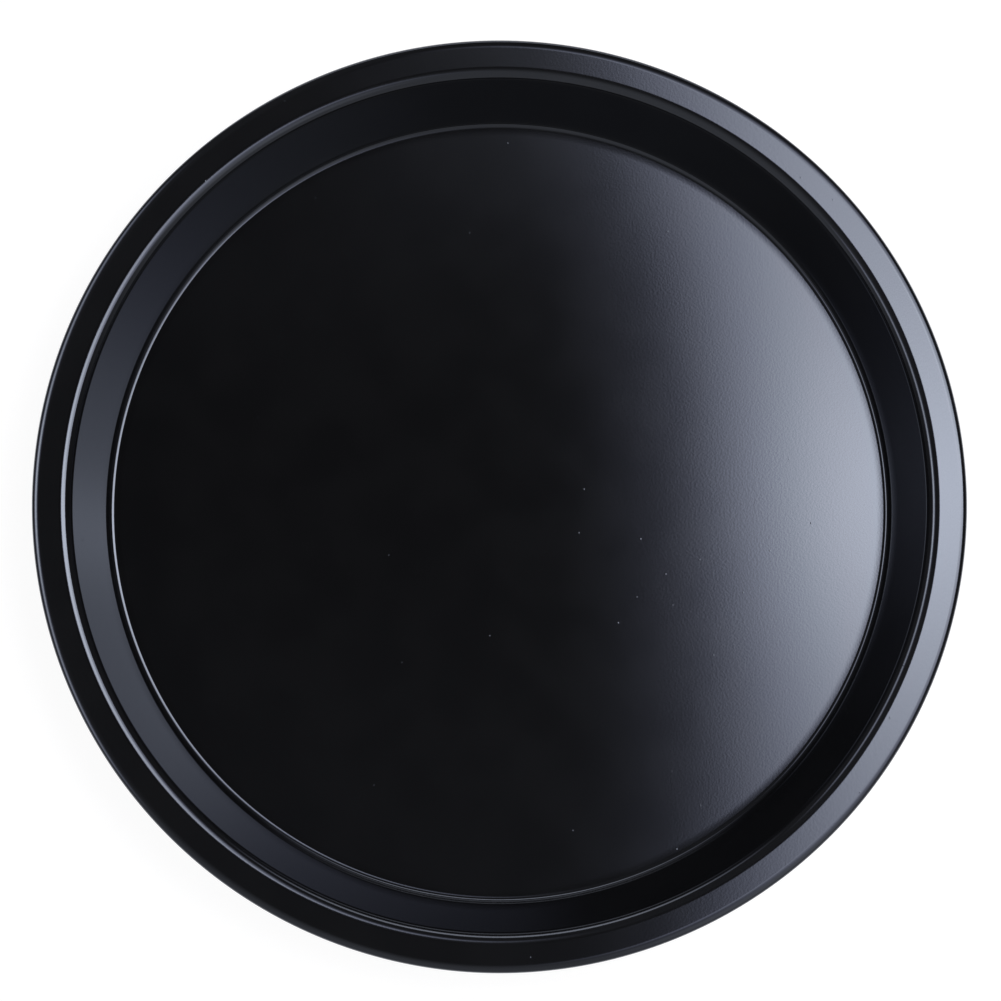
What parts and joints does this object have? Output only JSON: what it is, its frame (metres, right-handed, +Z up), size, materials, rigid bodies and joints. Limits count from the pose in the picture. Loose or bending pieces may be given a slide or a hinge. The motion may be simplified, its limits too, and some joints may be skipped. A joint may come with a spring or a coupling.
{
  "type": "pizza pan",
  "caption": "Round deep-dish pizza pan pressed from one sheet, with a flat floor, steep wall, flat flange and curled edge, in black non-stick.",
  "frame": {"origin": "middle of the underside, on the surface that the pan rests on", "axes": "+Z up along the pan's axis; X and Y lie in the floor and are alike, because the pan is round"},
  "size_m": [0.3302, 0.3302, 0.0387],
  "materials": {
    "nonstick_steel": "satin black non-stick coating on pressed carbon steel, with a fine orange-peel grain"
  },
  "bodies": {
    "root": {"pan_body": "nonstick_steel"}
  },
  "joints": []
}
